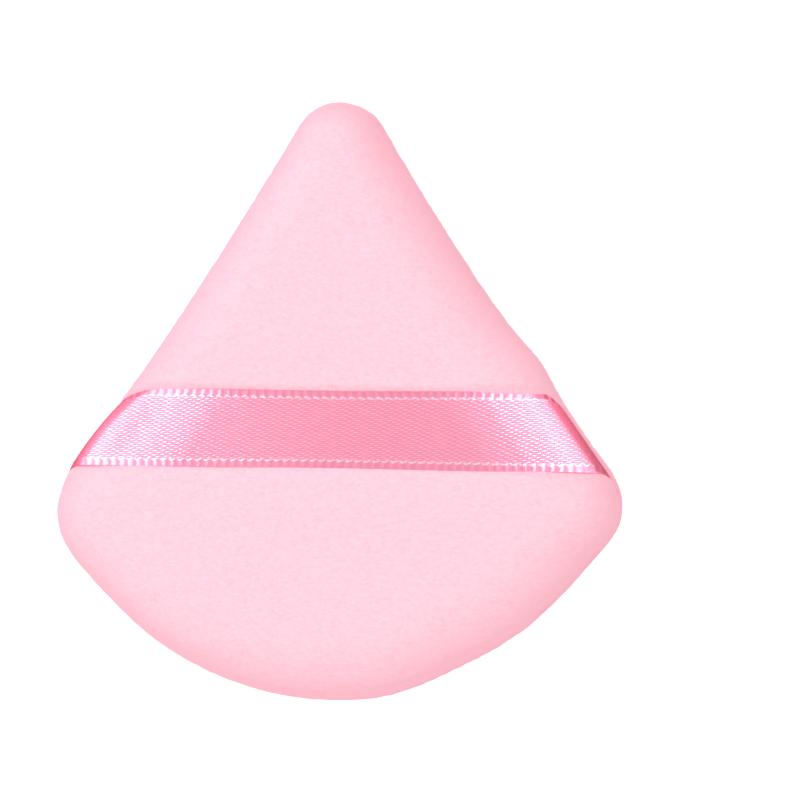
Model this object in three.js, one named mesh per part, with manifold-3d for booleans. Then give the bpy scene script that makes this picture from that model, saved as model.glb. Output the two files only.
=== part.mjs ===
// Powder puff: two velour panels sewn together and turned over a sponge, with a satin finger ribbon.
// Millimetres, +Z up. The puff lies on its application face, +Y points to its tip, the ribbon runs along X.
import * as THREE from "three";
import { mergeVertices } from "three/addons/utils/BufferGeometryUtils.js";
import Module from "manifold-3d";

const wasm = await Module();
wasm.setup();

// Sizes of the outline, seen from the front
const PUFF_WIDTH = 72.6;
const PUFF_LENGTH = 75.8;
const TIP_RADIUS = 6;
const CORNER_RADIUS = 9;
// Height of the corners' centres over the lowest point of the curved base.
const CORNER_HEIGHT = 24.4;
// The two long sides are drawn in a little between tip and corner, so this arc bends inwards.
const SIDE_RADIUS = 450;

// Sizes of the padded section, whose layers stack up to the thickness
const FOAM_THICKNESS = 5;
const WADDING_THICKNESS = 1.1;
const COVER_WALL = 1.8;
const FRONT_CROWN = 1;
const EDGE_ROLL = 7.5;
const ROLL_POWER = 2.2;

// Sizes of the seam
const ALLOWANCE_WIDTH = 4;
const ALLOWANCE_THICKNESS = 1.4;
const LIP_RADIUS = 1.2;
const STITCH_LENGTH = 5;
const TURNING_GAP = 28;
// How far the middle of the turning gap lies from the middle of the base, along the stitches.
const TURNING_GAP_ASIDE = 24;
const THREAD_DIAMETER = 0.3;

// Sizes of the ribbon
const RIBBON_WIDTH = 10;
const RIBBON_THICKNESS = 0.3;
const RIBBON_BELOW_MIDDLE = 3.5;
// How deep the ribbon's bed is pressed into the pile.
const RIBBON_BED = 0.9;
const TAIL_PAST_STITCHES = 1.4;
// A ribbon laid over a slanted edge drifts towards the corner on its way down to the seam.
const RIBBON_DRIFT = 0.6;
// How far the stiff ribbon stands off its bed where it turns over the edge.
const RIBBON_STAND_OFF = 0.5;

// Clearances
const CLEARANCE = 0.3;
const THREAD_CLEARANCE = 0.1;

// Mesh fineness
const STEPS = { base: 6, corner: 4, side: 4, tip: 4, roll: 5, lining: 3, lip: 2, bend: 6, flat: 4, across: 2 };
const FACE_RINGS = [0.3, 0.65];
const LINING_RING = 0.5;
const SMALLEST_RADIUS = 1;
const WELD = 1e-5;

// Values that follow from the sizes
const HALF_TURN = Math.PI / 2;
const FACE_RISE = FOAM_THICKNESS / 2 + WADDING_THICKNESS + COVER_WALL + 2 * CLEARANCE;
const SEAM_Z = FACE_RISE;
const SEAM_HALF_GAP = CLEARANCE / 2;
const LIP_TOP = SEAM_HALF_GAP + LIP_RADIUS;
const ALLOWANCE_TOP = SEAM_HALF_GAP + ALLOWANCE_THICKNESS;
const ALLOWANCE_END = LIP_RADIUS + ALLOWANCE_WIDTH;
const STITCH_INSET = LIP_RADIUS + ALLOWANCE_WIDTH / 2;
const TAIL_END = STITCH_INSET + TAIL_PAST_STITCHES;
const THREAD_RADIUS = THREAD_DIAMETER / 2;
const RUN_HEIGHT = ALLOWANCE_TOP + CLEARANCE + THREAD_RADIUS;
const TIP_Y = PUFF_LENGTH / 2;
const RIBBON_Y = -RIBBON_BELOW_MIDDLE;

// Where two circles cross: left or right of the way from the first centre to the second.
function crossing(a, radiusA, b, radiusB, left) {
  const way = b.clone().sub(a);
  const apart = way.length();
  way.normalize();
  const reach = (radiusA ** 2 - radiusB ** 2 + apart ** 2) / (2 * apart);
  const aside = Math.sqrt(radiusA ** 2 - reach ** 2) * (left ? 1 : -1);
  return new THREE.Vector2(a.x + way.x * reach - way.y * aside, a.y + way.y * reach + way.x * aside);
}

// Centres of the outline's arcs, each tangent to its neighbours
const tipCentre = new THREE.Vector2(0, TIP_Y - TIP_RADIUS);
const cornerCentre = new THREE.Vector2(PUFF_WIDTH / 2 - CORNER_RADIUS, CORNER_HEIGHT - TIP_Y);
const baseRadius =
  (cornerCentre.x ** 2 + CORNER_HEIGHT ** 2 - CORNER_RADIUS ** 2) / (2 * (CORNER_HEIGHT - CORNER_RADIUS));
const baseCentre = new THREE.Vector2(0, baseRadius - TIP_Y);
const sideCentre = crossing(
  tipCentre,
  SIDE_RADIUS + TIP_RADIUS,
  cornerCentre,
  SIDE_RADIUS + CORNER_RADIUS,
  true,
);

// The point furthest from the outline, where the faces have their pole.
const sideReach = SIDE_RADIUS + TIP_Y;
const POLE_Y = (sideCentre.lengthSq() - sideReach ** 2) / (2 * (sideReach + sideCentre.y));
const DEEPEST = POLE_Y + TIP_Y;

function bearing(from, to) {
  return Math.atan2(to.y - from.y, to.x - from.x);
}

function shortTurn(from, to) {
  return Math.atan2(Math.sin(to - from), Math.cos(to - from));
}

// The right half of the outline moved inwards, as four arcs from the middle of the base up to the tip.
function halfOutline(inset) {
  const side = SIDE_RADIUS + inset;
  const base = baseRadius - inset;
  const tip = Math.max(TIP_RADIUS - inset, SMALLEST_RADIUS);
  const corner = Math.max(CORNER_RADIUS - inset, SMALLEST_RADIUS);
  const tipAt = new THREE.Vector2(0, sideCentre.y - Math.sqrt((side + tip) ** 2 - sideCentre.x ** 2));
  const cornerAt = crossing(baseCentre, base - corner, sideCentre, side + corner, false);
  const turn = bearing(baseCentre, cornerAt);
  return [
    { centre: baseCentre, radius: base, from: -HALF_TURN, to: turn, steps: STEPS.base },
    { centre: cornerAt, radius: corner, from: turn, to: bearing(cornerAt, sideCentre), steps: STEPS.corner },
    {
      centre: sideCentre,
      radius: side,
      from: bearing(sideCentre, cornerAt),
      to: bearing(sideCentre, tipAt),
      steps: STEPS.side,
    },
    { centre: tipAt, radius: tip, from: bearing(tipAt, sideCentre), to: HALF_TURN, steps: STEPS.tip },
  ];
}

function arcPoint(arc, share) {
  const angle = arc.from + shortTurn(arc.from, arc.to) * share;
  return new THREE.Vector2(
    arc.centre.x + arc.radius * Math.cos(angle),
    arc.centre.y + arc.radius * Math.sin(angle),
  );
}

// The whole outline moved inwards, counter-clockwise from the middle of the base.
function outline(inset) {
  const arcs = halfOutline(inset);
  const right = [];
  for (const arc of arcs) {
    for (let i = 0; i < arc.steps; i++) right.push(arcPoint(arc, i / arc.steps));
  }
  const left = right.slice(1).reverse().map((p) => new THREE.Vector2(-p.x, p.y));
  return [...right, arcPoint(arcs[3], 1), ...left];
}

// How far to the right the outline reaches at a height y when it is moved inwards.
function reachAt(y, inset) {
  const arc = halfOutline(inset).find((a) => y <= arcPoint(a, 1).y);
  const across = Math.sqrt(arc.radius ** 2 - (y - arc.centre.y) ** 2);
  return arc.centre.x + (arc.centre === sideCentre ? -across : across);
}

// Height over the seam of a surface that lies within the outer skin and starts at a foot beside the seam.
function rise(within, foot, inset) {
  const share = THREE.MathUtils.clamp((EDGE_ROLL - inset) / (EDGE_ROLL - within), 0, 1);
  return foot + (FACE_RISE - within - foot) * (1 - share ** ROLL_POWER) ** (1 / ROLL_POWER);
}

// Insets of the rings from the foot to the face, close together where the section turns most.
function rollInsets(within, steps, startShare = 0) {
  const insets = [];
  const start = Math.asin(startShare ** (ROLL_POWER / 2));
  for (let i = 0; i <= steps; i++) {
    const turn = start + (HALF_TURN - start) * (i / steps);
    insets.push(EDGE_ROLL - (EDGE_ROLL - within) * Math.max(Math.cos(turn), 0) ** (2 / ROLL_POWER));
  }
  return insets;
}

function faceInset(share) {
  return EDGE_ROLL + (DEEPEST - EDGE_ROLL) * share;
}
const faceInsets = FACE_RINGS.map(faceInset);

// How much of the crown a place on the front face has: all at the pole, none where the face rolls over.
function crownShare(x, y) {
  const across = x / (PUFF_WIDTH / 2 - EDGE_ROLL);
  const along = (y - POLE_Y) / (TIP_Y - EDGE_ROLL - POLE_Y);
  return Math.max(1 - across ** 2 - along ** 2, 0) ** 2;
}

// The two halves of the puff: which way each swells from the seam, and by how much its face is crowned.
const FRONT = { up: 1, crown: FRONT_CROWN };
const BACK = { up: -1, crown: 0 };

function lifted(half, x, y, height) {
  const crowned = height + half.crown * crownShare(x, y) * (height / FACE_RISE);
  return new THREE.Vector3(x, y, SEAM_Z + half.up * crowned);
}

function ring(half, inset, height) {
  return outline(inset).map((p) => lifted(half, p.x, p.y, height));
}

function pole(half, height) {
  return lifted(half, 0, POLE_Y, height);
}

// A closed skin over a stack of rings, from one end point to the other.
function skin(first, rings, last, flip) {
  const count = rings[0].length;
  const points = [first, ...rings.flat(), last];
  const index = [];
  const face = (a, b, c) => index.push(...(flip ? [a, c, b] : [a, b, c]));
  const at = (row, i) => 1 + row * count + (i % count);
  for (let i = 0; i < count; i++) {
    face(0, at(0, i), at(0, i + 1));
    for (let row = 0; row + 1 < rings.length; row++) {
      face(at(row, i), at(row + 1, i), at(row + 1, i + 1));
      face(at(row, i), at(row + 1, i + 1), at(row, i + 1));
    }
    face(points.length - 1, at(rings.length - 1, i + 1), at(rings.length - 1, i));
  }
  const geometry = new THREE.BufferGeometry().setFromPoints(points);
  geometry.setIndex(index);
  return geometry;
}

// The rounded lip beside the seam, as insets and heights.
function lipPoints() {
  const points = [];
  for (let i = 1; i <= STEPS.lip; i++) {
    const turn = HALF_TURN * (i / STEPS.lip);
    points.push(new THREE.Vector2(LIP_RADIUS * (1 - Math.cos(turn)), LIP_TOP - LIP_RADIUS * Math.sin(turn)));
  }
  return points;
}

// A velour panel: face, rolled edge, lip, allowance turned inwards, then the lining side back to the middle.
function coverGeometry(half) {
  const rings = faceInsets.toReversed().map((d) => ring(half, d, FACE_RISE));
  for (const d of rollInsets(0, STEPS.roll).reverse()) rings.push(ring(half, d, rise(0, LIP_TOP, d)));
  for (const p of lipPoints()) rings.push(ring(half, p.x, p.y));
  rings.push(ring(half, ALLOWANCE_END, SEAM_HALF_GAP), ring(half, ALLOWANCE_END, ALLOWANCE_TOP));
  for (const d of rollInsets(COVER_WALL, STEPS.lining)) {
    rings.push(ring(half, d, rise(COVER_WALL, ALLOWANCE_TOP, d)));
  }
  rings.push(ring(half, faceInset(LINING_RING), FACE_RISE - COVER_WALL));
  return skin(pole(half, FACE_RISE), rings, pole(half, FACE_RISE - COVER_WALL), half.up < 0);
}

// A fibre layer under a panel, flat where it lies over the allowance and its stitches.
function waddingGeometry(half) {
  const within = COVER_WALL + CLEARANCE;
  const top = FACE_RISE - within;
  const foot = RUN_HEIGHT + THREAD_RADIUS + CLEARANCE;
  const startShare = (foot - ALLOWANCE_TOP) / (top - ALLOWANCE_TOP);
  const rings = [ring(half, faceInset(LINING_RING), top)];
  for (const d of rollInsets(within, STEPS.lining, startShare).reverse()) {
    rings.push(ring(half, d, rise(within, ALLOWANCE_TOP, d)));
  }
  return skin(pole(half, top), rings, pole(half, foot), half.up < 0);
}

function prism(corners, bottom, top) {
  const shape = new THREE.Shape(corners);
  const block = new THREE.ExtrudeGeometry(shape, { depth: top - bottom, bevelEnabled: false });
  return block.translate(0, 0, bottom);
}

function solid(geometry) {
  const plain = new THREE.BufferGeometry();
  plain.setAttribute("position", geometry.getAttribute("position"));
  if (geometry.index) plain.setIndex(geometry.index);
  const merged = mergeVertices(plain, WELD);
  const mesh = new wasm.Mesh({
    numProp: 3,
    vertProperties: new Float32Array(merged.getAttribute("position").array),
    triVerts: new Uint32Array(merged.index.array),
  });
  return new wasm.Manifold(mesh);
}

// The sponge fills the ring that the allowances leave open.
const foamBottom = SEAM_Z - FOAM_THICKNESS / 2;
const foamTop = SEAM_Z + FOAM_THICKNESS / 2;
const foam = solid(prism(outline(ALLOWANCE_END + CLEARANCE), foamBottom, foamTop));
const foamRoom = solid(prism(outline(ALLOWANCE_END), foamBottom - CLEARANCE, foamTop + CLEARANCE));

// The front section that the ribbon follows, from the face over the edge and the lip along the allowance.
function ribbonSection(tailEnd) {
  const points = [];
  for (const d of rollInsets(0, STEPS.bend).reverse()) points.push(new THREE.Vector2(d, rise(0, LIP_TOP, d)));
  points.push(...lipPoints(), new THREE.Vector2(tailEnd, SEAM_HALF_GAP));
  return points;
}

// A point of a section moved out by a distance, square to the section there.
function beside(section, i, distance) {
  const last = section.length - 1;
  const way = section[Math.min(i + 1, last)].clone().sub(section[Math.max(i - 1, 0)]).normalize();
  if (i === 0) way.set(-1, 0);
  if (i >= last - 1) way.set(1, 0);
  return new THREE.Vector2(section[i].x + way.y * distance, section[i].y - way.x * distance);
}

// One long line over the front at a distance from its skin, from the left tail to the right tail.
// Over the edge it swings out by half a wave and is back at its distance where the lip ends.
function ribbonLine(y, distance, section) {
  const right = [];
  const flatEnd = reachAt(y, EDGE_ROLL);
  for (let i = 0; i < STEPS.flat; i++) {
    const point = lifted(FRONT, flatEnd * (i / STEPS.flat), y, FACE_RISE);
    right.push(point.setZ(point.z + distance));
  }
  for (let i = 0; i < section.length; i++) {
    const lower = y - RIBBON_DRIFT * THREE.MathUtils.smoothstep(i, 0, section.length - 1);
    const swing = RIBBON_STAND_OFF * Math.sin(Math.PI * Math.min(i / (section.length - 2), 1));
    const moved = beside(section, i, distance + swing);
    right.push(lifted(FRONT, reachAt(lower, moved.x), lower, moved.y));
  }
  const left = right.slice(1).reverse().map((p) => new THREE.Vector3(-p.x, p.y, p.z));
  return [...left, ...right];
}

// A closed strip along the ribbon's way, between two distances from the front's skin.
function stripGeometry(width, under, over, tailEnd) {
  const section = ribbonSection(tailEnd);
  const across = STEPS.across + 1;
  const layer = (distance) => {
    const lines = [];
    for (let line = 0; line < across; line++) {
      lines.push(ribbonLine(RIBBON_Y + width * (line / STEPS.across - 0.5), distance, section));
    }
    return lines;
  };
  const lines = [...layer(under), ...layer(over)];
  const along = lines[0].length;
  const at = (line, i) => line * along + i;
  const index = [];
  const quad = (a, b, c, d) => index.push(a, b, c, a, c, d);
  for (let i = 0; i + 1 < along; i++) {
    for (let line = 0; line + 1 < across; line++) {
      const top = across + line;
      quad(at(top, i), at(top, i + 1), at(top + 1, i + 1), at(top + 1, i));
      quad(at(line, i), at(line + 1, i), at(line + 1, i + 1), at(line, i + 1));
    }
    quad(at(0, i), at(0, i + 1), at(across, i + 1), at(across, i));
    const last = across - 1;
    quad(at(last, i), at(across + last, i), at(across + last, i + 1), at(last, i + 1));
  }
  for (let line = 0; line + 1 < across; line++) {
    const top = across + line;
    quad(at(line, 0), at(top, 0), at(top + 1, 0), at(line + 1, 0));
    const end = along - 1;
    quad(at(line, end), at(line + 1, end), at(top + 1, end), at(top, end));
  }
  const geometry = new THREE.BufferGeometry().setFromPoints(lines.flat());
  geometry.setIndex(index);
  return geometry;
}

const ribbonUnder = CLEARANCE - RIBBON_BED;
const ribbon = solid(stripGeometry(RIBBON_WIDTH, ribbonUnder, ribbonUnder + RIBBON_THICKNESS, TAIL_END));
const ribbonBed = solid(
  stripGeometry(RIBBON_WIDTH + 2 * CLEARANCE, -RIBBON_BED, RIBBON_BED, TAIL_END + CLEARANCE),
);

// Stitch places at equal steps along a stretch of the stitch line, counter-clockwise from the base's middle.
const stitchLine = new THREE.Path(outline(STITCH_INSET)).closePath();
const stitchLineLength = stitchLine.getLength();
function stitchPlaces(from, length) {
  const steps = Math.round(length / STITCH_LENGTH);
  const places = [];
  for (let i = 0; i <= steps; i++) {
    const share = THREE.MathUtils.euclideanModulo((from + (length * i) / steps) / stitchLineLength, 1);
    places.push({ at: stitchLine.getPointAt(share), along: stitchLine.getTangentAt(share) });
  }
  return places;
}

const gapStart = TURNING_GAP_ASIDE - TURNING_GAP / 2;
const sewn = stitchPlaces(gapStart + TURNING_GAP, stitchLineLength - TURNING_GAP);
const closed = stitchPlaces(gapStart + STITCH_LENGTH / 2, TURNING_GAP - STITCH_LENGTH);

// Two linked threads keep clear of each other and of the hole that both pass.
const threadPitch = THREAD_DIAMETER + THREAD_CLEARANCE;
const legAside = threadPitch / Math.SQRT2;
const linkDepth = threadPitch / 2;
const holeHalf = legAside + THREAD_RADIUS + THREAD_CLEARANCE;

function atStitch(place, along, across, height) {
  return new THREE.Vector3(
    place.at.x + place.along.x * along - place.along.y * across,
    place.at.y + place.along.y * along + place.along.x * across,
    SEAM_Z + height,
  );
}

// A lockstitch thread: runs on its own side and dips through each hole to catch the other thread.
function lockPath(places, up) {
  return places.flatMap((place) => [
    atStitch(place, -legAside, legAside * up, up * RUN_HEIGHT),
    atStitch(place, -legAside, legAside * up, -up * linkDepth),
    atStitch(place, legAside, -legAside * up, -up * linkDepth),
    atStitch(place, legAside, -legAside * up, up * RUN_HEIGHT),
  ]);
}

// A running stitch: one thread that goes through each hole to the other side.
function runningPath(places) {
  return places.flatMap((place, i) => {
    const up = i % 2 === 0 ? 1 : -1;
    return [atStitch(place, 0, 0, up * RUN_HEIGHT), atStitch(place, 0, 0, -up * RUN_HEIGHT)];
  });
}

// A four-sided thread along a path of straight runs.
function threadGeometry(path) {
  const ways = path.map((p, i) => {
    const way = new THREE.Vector3();
    if (i > 0) way.add(p.clone().sub(path[i - 1]).normalize());
    if (i + 1 < path.length) way.add(path[i + 1].clone().sub(p).normalize());
    return way.normalize();
  });
  let side = new THREE.Vector3(1, 0, 0);
  const rings = path.map((p, i) => {
    side = side.clone().addScaledVector(ways[i], -side.dot(ways[i])).normalize();
    const other = ways[i].clone().cross(side);
    const corner = (way, reach) => p.clone().addScaledVector(way, reach);
    const r = THREAD_RADIUS;
    return [corner(side, r), corner(other, r), corner(side, -r), corner(other, -r)];
  });
  return skin(path[0], rings, path[path.length - 1], true);
}

// Needle holes through both allowances and the ribbon's tails
function holeGeometry(place) {
  const corners = [
    atStitch(place, -holeHalf, -holeHalf, 0),
    atStitch(place, holeHalf, -holeHalf, 0),
    atStitch(place, holeHalf, holeHalf, 0),
    atStitch(place, -holeHalf, holeHalf, 0),
  ];
  const reach = ALLOWANCE_TOP + THREAD_CLEARANCE;
  return prism(corners.map((p) => new THREE.Vector2(p.x, p.y)), SEAM_Z - reach, SEAM_Z + reach);
}
const holes = wasm.Manifold.union([...sewn, ...closed].map((place) => solid(holeGeometry(place))));

function named(name, body, color, roughness) {
  const mesh = body.getMesh();
  const geometry = new THREE.BufferGeometry();
  geometry.setAttribute("position", new THREE.BufferAttribute(new Float32Array(mesh.vertProperties), 3));
  geometry.setIndex(new THREE.BufferAttribute(new Uint32Array(mesh.triVerts), 1));
  const material = new THREE.MeshStandardMaterial({ color, roughness, metalness: 0 });
  const node = new THREE.Mesh(geometry, material);
  node.name = name;
  return node;
}

// Colours
const VELOUR = 0xfdd3e0;
const SATIN = 0xf99fbe;
const FIBRE = 0xfbf6f4;
const SPONGE = 0xfbeee6;
const THREAD = 0xf8bcd0;

const puff = new THREE.Group();
puff.name = "powder_puff";
puff.add(
  named("front_cover", solid(coverGeometry(FRONT)).subtract(ribbonBed).subtract(holes), VELOUR, 0.95),
  named("back_cover", solid(coverGeometry(BACK)).subtract(holes), VELOUR, 0.95),
  named("foam_core", foam, SPONGE, 0.9),
  named("front_wadding", solid(waddingGeometry(FRONT)).subtract(foamRoom), FIBRE, 1),
  named("back_wadding", solid(waddingGeometry(BACK)).subtract(foamRoom), FIBRE, 1),
  named("ribbon_strap", ribbon.subtract(holes), SATIN, 0.35),
  named("needle_thread", solid(threadGeometry(lockPath(sewn, 1))), THREAD, 0.6),
  named("bobbin_thread", solid(threadGeometry(lockPath(sewn, -1))), THREAD, 0.6),
  named("closing_thread", solid(threadGeometry(runningPath(closed))), THREAD, 0.6),
);

export default puff;
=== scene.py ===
# %% [markdown]
# # Dressing a powder puff
# The part is a small cosmetic pad: two panels of short-pile velour, sewn face to face, turned, filled
# with a sponge and two layers of fibre, with a satin ribbon across the front for two fingers.
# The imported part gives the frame: where each piece sits and what moves. This lesson makes the looks.
# Every shape is worked out with numpy as whole arrays, in millimetres, and put into a mesh at the end.

import bpy
import numpy as np
from mathutils import Matrix, Vector


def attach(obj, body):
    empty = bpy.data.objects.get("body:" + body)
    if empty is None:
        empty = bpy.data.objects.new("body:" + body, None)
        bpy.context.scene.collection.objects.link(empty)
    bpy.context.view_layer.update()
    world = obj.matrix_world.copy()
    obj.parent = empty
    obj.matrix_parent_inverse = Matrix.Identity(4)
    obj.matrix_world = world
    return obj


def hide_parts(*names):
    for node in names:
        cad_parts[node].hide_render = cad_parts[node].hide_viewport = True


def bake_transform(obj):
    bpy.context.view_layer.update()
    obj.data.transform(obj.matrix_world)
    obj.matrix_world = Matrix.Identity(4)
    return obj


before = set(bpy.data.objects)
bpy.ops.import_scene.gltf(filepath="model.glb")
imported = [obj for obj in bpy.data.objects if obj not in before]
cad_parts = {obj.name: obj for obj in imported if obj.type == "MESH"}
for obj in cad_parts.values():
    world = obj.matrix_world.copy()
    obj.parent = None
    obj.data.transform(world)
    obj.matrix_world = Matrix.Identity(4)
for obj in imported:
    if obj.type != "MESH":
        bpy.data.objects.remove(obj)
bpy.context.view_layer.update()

# %% [markdown]
# ## The outline
# Seen from the front the puff is a triangle with a small round tip, two wider round corners, a curved
# base and two long sides that are drawn in a little by the seam. It could be a curve drawn by hand, but a
# cutter's pattern is made of arcs: four of them, each tangent to the next, give one half, and the other
# half is its mirror image. Moving arcs inwards only changes their radii, so one function gives the
# outline at any distance from the edge.

# %% Sizes of the pattern, in millimetres
MM = 0.001
PUFF_WIDTH, PUFF_LENGTH = 72.6, 75.8
TIP_RADIUS, CORNER_RADIUS, CORNER_HEIGHT, SIDE_RADIUS = 6.0, 9.0, 24.4, 450.0
SMALLEST_RADIUS = 1.0
TIP_Y = PUFF_LENGTH / 2
CORNER_X = PUFF_WIDTH / 2 - CORNER_RADIUS
CORNER_OVER_BASE = CORNER_HEIGHT - CORNER_RADIUS
BASE_RADIUS = (CORNER_X**2 + CORNER_HEIGHT**2 - CORNER_RADIUS**2) / (2 * CORNER_OVER_BASE)
BASE = (0.0, BASE_RADIUS - TIP_Y)
QUARTER_TURN = np.pi / 2
print("base radius", round(BASE_RADIUS, 2), "mm")

# %% The outline as four tangent arcs


def crossing(a, radius_a, b, radius_b, side):
    """Where two circles cross: along the line of centres by the law of cosines, then square to it."""
    apart = np.hypot(b[0] - a[0], b[1] - a[1])
    way = ((b[0] - a[0]) / apart, (b[1] - a[1]) / apart)
    ahead = (radius_a**2 - radius_b**2 + apart**2) / (2 * apart)
    aside = side * np.sqrt(radius_a**2 - ahead**2)
    return a[0] + way[0] * ahead - way[1] * aside, a[1] + way[1] * ahead + way[0] * aside


SIDE = crossing(
    (0.0, TIP_Y - TIP_RADIUS), SIDE_RADIUS + TIP_RADIUS,
    (CORNER_X, CORNER_HEIGHT - TIP_Y), SIDE_RADIUS + CORNER_RADIUS, 1,
)


def half_arcs(inset):
    """Base, corner, side and tip of the right half moved inwards: centre x and y, radius, two angles."""
    side, base = SIDE_RADIUS + inset, BASE_RADIUS - inset
    tip = np.maximum(TIP_RADIUS - inset, SMALLEST_RADIUS)
    corner = np.maximum(CORNER_RADIUS - inset, SMALLEST_RADIUS)
    tip_y = SIDE[1] - np.sqrt((side + tip) ** 2 - SIDE[0] ** 2)
    cx, cy = crossing(BASE, base - corner, SIDE, side + corner, -1)
    turn = np.arctan2(cy - BASE[1], cx - BASE[0])
    up_side = np.arctan2(SIDE[1] - cy, SIDE[0] - cx)
    up_tip = np.arctan2(SIDE[1] - tip_y, SIDE[0])
    return [
        (BASE[0], BASE[1], base, -QUARTER_TURN, turn),
        (cx, cy, corner, turn, up_side),
        (SIDE[0], SIDE[1], side, up_side + np.pi, up_tip + np.pi),
        (0.0, tip_y, tip, up_tip, QUARTER_TURN),
    ]


SIDE_ARC = 2
ARC_LENGTHS = [abs(radius * (to - start)) for _, _, radius, start, to in half_arcs(0.0)]
BREAKS = np.concatenate([[0.0], np.cumsum(ARC_LENGTHS)]) / sum(ARC_LENGTHS)
LAP_LENGTH = 2 * sum(ARC_LENGTHS)
print("arcs of one half", np.round(ARC_LENGTHS, 1), "mm, one lap", round(LAP_LENGTH, 1), "mm")

# %% [markdown]
# ## What sewing does to the outline
# No puff comes out exactly as its pattern. The base is flatter where the gap for turning was closed by
# hand, and the filling pushes the corners and the place above the ribbon's right end further out. A
# sculpting brush could do this, but as steps and bells along the seam each change has a place, a depth
# and a width of its own. Places are counted in millimetres from the middle of the base, to the right.

# %% Flat and full places along the seam
FLAT_DEPTH, FLAT_FROM, FLAT_TO, FLAT_EASE = 1.15, 4.0, 50.0, 15.0
# Each fuller place: where its middle is, how much further out it stands, how wide it is
RIGHT_CORNER, OVER_RIBBON, LEFT_CORNER = (48.0, 0.3, 4.5), (69.0, 0.65, 4.0), (180.7, 0.55, 5.0)


def smooth(share):
    """Zero before 0, one after 1, and 3 share squared minus 2 share cubed between."""
    share = np.clip(share, 0, 1)
    return share * share * (3 - 2 * share)


def flattened(place):
    """How much deeper the base lies where the gap was closed: one smooth step in, one smooth step out."""
    step_in = smooth((place - FLAT_FROM) / FLAT_EASE)
    step_out = smooth((place - FLAT_TO + FLAT_EASE) / FLAT_EASE)
    return FLAT_DEPTH * step_in * (1 - step_out)


def fuller(place):
    """How much further out the filling pushes the seam: the sum of three bells."""
    bells = (RIGHT_CORNER, OVER_RIBBON, LEFT_CORNER)
    return sum(by * np.exp(-(((place - middle) / spread) ** 2)) for middle, by, spread in bells)


def outline(inset, lap):
    """Point of the moved outline at a share of a lap, counter-clockwise from the middle of the base.

    On each arc it is the centre plus the radius along an angle that grows evenly with the share.
    """
    inset = inset + flattened(LAP_LENGTH * lap) - fuller(LAP_LENGTH * lap)
    half = 2 * np.minimum(lap, 1 - lap)
    hand = np.where(lap <= 0.5, 1.0, -1.0)
    x = y = 0.0
    for k, (cx, cy, radius, start, to) in enumerate(half_arcs(inset)):
        share = np.clip((half - BREAKS[k]) / (BREAKS[k + 1] - BREAKS[k]), 0, 1)
        angle = start + (to - start) * share
        here = half >= BREAKS[k] if k else True
        x = np.where(here, cx + radius * np.cos(angle), x)
        y = np.where(here, cy + radius * np.sin(angle), y)
    return x * hand, y + 0 * hand


def reach(y, inset):
    """How far to the right the moved pattern reaches at a height y, on the arc that holds that height."""
    inside, across = [], []
    for k, (cx, cy, radius, _, to) in enumerate(half_arcs(inset)):
        root = np.sqrt(np.maximum(radius**2 - (y - cy) ** 2, 0))
        inside.append(y <= cy + radius * np.sin(to))
        across.append(cx - root if k == SIDE_ARC else cx + root)
    return np.select(inside, across)


print("base flattened by", FLAT_DEPTH, "mm, fuller by up to", OVER_RIBBON[1], "mm")

# %% [markdown]
# ## The section through the edge
# From the flat face the velour rolls over in a quarter of a rounded square, runs into a small lip beside
# the seam and then turns inwards as the seam allowance. A bevel would round all edges alike, so the
# section is a formula. Each station of it keeps its inset from the outline, its height over the seam and
# the direction that points out of the cloth, so that anything can be moved off the cloth later.

# %% Stations of the section
FACE_RISE, EDGE_ROLL, ROLL_POWER = 6.0, 7.5, 2.2
LIP_RADIUS, SEAM_HALF_GAP = 0.8, 0.06
RIBBON_STAND_OFF, ROLL_SHARE = 0.3, 0.75
SEAM_Z = FACE_RISE
SECTION_POWER = 2 / ROLL_POWER


def edge_stations(roll_steps, lip_steps, under_steps, under_end):
    """Roll: cosine and sine to the power 2/p. Lip: a quarter circle. Allowance: a straight run inwards.

    The last value is how far the stiff ribbon swings off the pile: half a wave, squared, over roll and lip.
    """
    turn = np.linspace(QUARTER_TURN, 0, roll_steps + 1)
    lip = np.linspace(0, QUARTER_TURN, lip_steps + 1)[1:]
    run = np.linspace(LIP_RADIUS, under_end, under_steps + 1)[1:]
    lip_top = SEAM_HALF_GAP + LIP_RADIUS
    inset = [EDGE_ROLL * (1 - np.cos(turn) ** SECTION_POWER), LIP_RADIUS * (1 - np.cos(lip)), run]
    rise = [
        lip_top + (FACE_RISE - lip_top) * np.maximum(np.sin(turn), 0) ** SECTION_POWER,
        lip_top - LIP_RADIUS * np.sin(lip),
        np.full(under_steps, SEAM_HALF_GAP),
    ]
    turned = [
        np.linspace(0, ROLL_SHARE, roll_steps + 1),
        ROLL_SHARE + (1 - ROLL_SHARE) * lip / QUARTER_TURN,
        np.ones(under_steps),
    ]
    inset, rise, turned = (np.concatenate(runs) for runs in (inset, rise, turned))
    along = np.stack([np.gradient(inset), np.gradient(rise)])
    along /= np.hypot(*along)
    length = np.concatenate([[0], np.cumsum(np.hypot(np.diff(inset), np.diff(rise)))])
    progress = np.minimum(length / length[roll_steps + lip_steps], 1)
    swing = RIBBON_STAND_OFF * np.sin(np.pi * turned) ** 2
    return inset, rise, along[1], -along[0], progress, swing


print("seam at", SEAM_Z, "mm, roll", EDGE_ROLL, "mm wide")

# %% The crown of the front
FRONT_CROWN = 1.0
# The crown is highest at the pole, which is as far from the base as from both sides
SIDE_REACH = SIDE_RADIUS + TIP_Y
POLE_Y = (SIDE[0] ** 2 + SIDE[1] ** 2 - SIDE_REACH**2) / (2 * (SIDE_REACH + SIDE[1]))


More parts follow.
